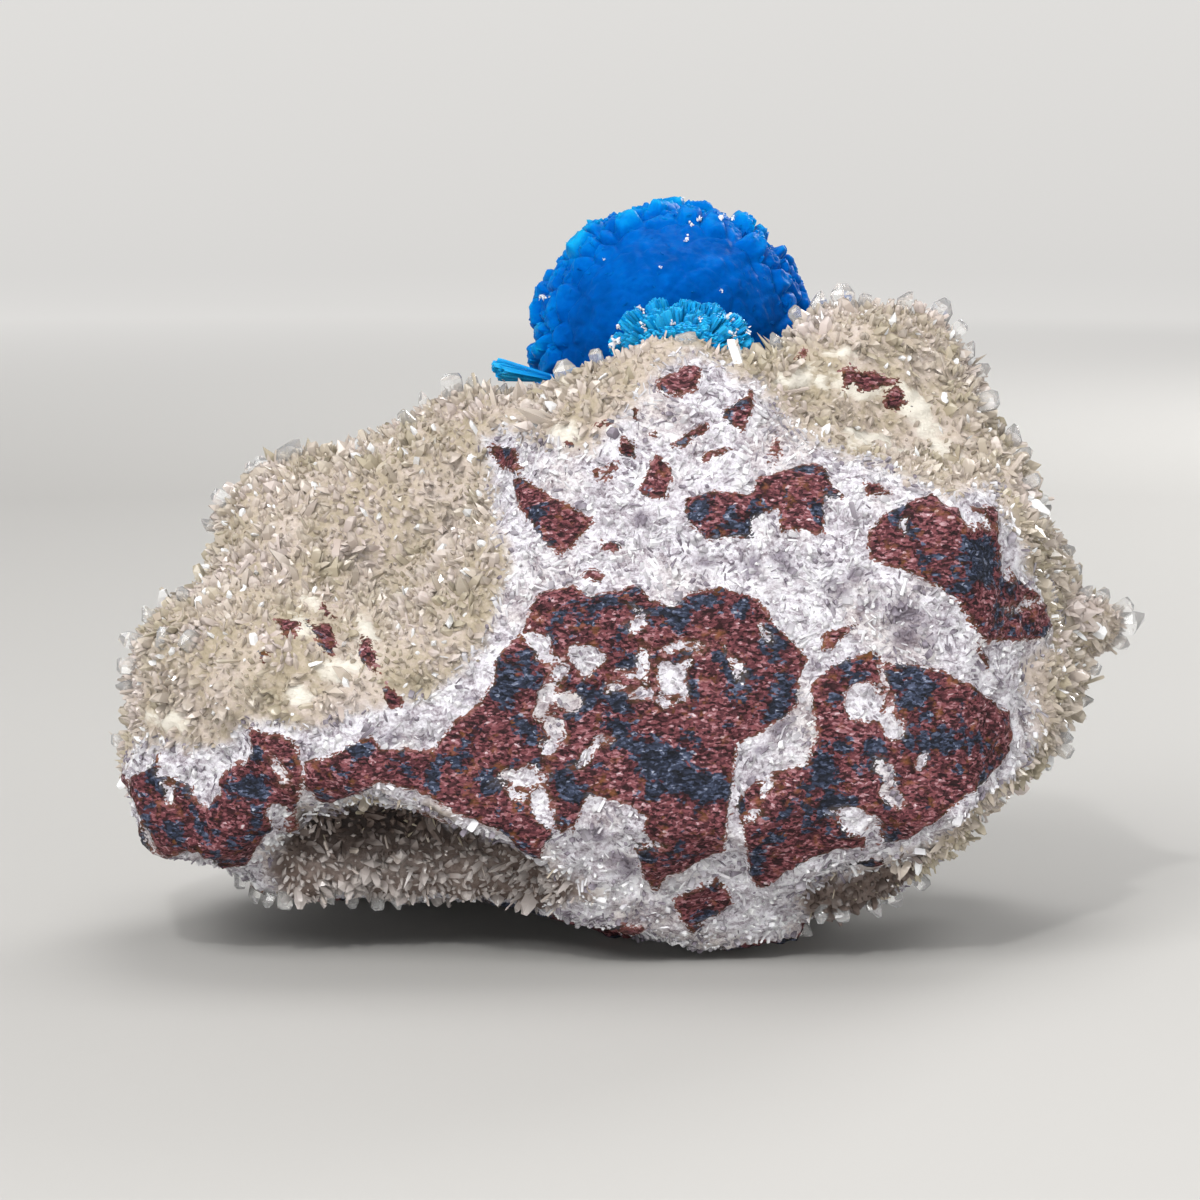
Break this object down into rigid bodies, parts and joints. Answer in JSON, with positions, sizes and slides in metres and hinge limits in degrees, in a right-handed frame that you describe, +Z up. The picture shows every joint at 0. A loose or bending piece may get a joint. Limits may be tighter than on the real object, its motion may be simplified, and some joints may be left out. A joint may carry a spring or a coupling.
{
  "type": "cavansite mineral specimen",
  "caption": "Natural mineral specimen: blue cavansite rosettes on a cream stilbite druse that coats a broken lump of basalt breccia. Rests on its underside.",
  "frame": {"origin": "middle of the specimen's box at the height of the surface that it rests on", "axes": "+X along the specimen's length, +Z up, and the broken face of the rock looks towards -Y"},
  "size_m": [0.0679, 0.0402, 0.0488],
  "materials": {
    "basalt_breccia": "matt granular red-brown basalt with white zeolite cement",
    "stilbite_druse": "clear to cream glassy crystals, sparkling",
    "stilbite_tan": "tan pearly blades",
    "cavansite_deep": "deep blue vitreous blades, translucent",
    "cavansite_bright": "bright blue vitreous blades, translucent"
  },
  "bodies": {
    "root": {"basalt_matrix": "basalt_breccia", "stilbite_crust": "stilbite_druse", "stilbite_hollow_lining": "stilbite_druse", "stilbite_underside": "stilbite_druse", "stilbite_rear_sheaf": "stilbite_tan", "cavansite_rosette_large": "cavansite_deep", "cavansite_rosette_small": "cavansite_bright", "cavansite_sheaf": "cavansite_bright"}
  },
  "joints": []
}
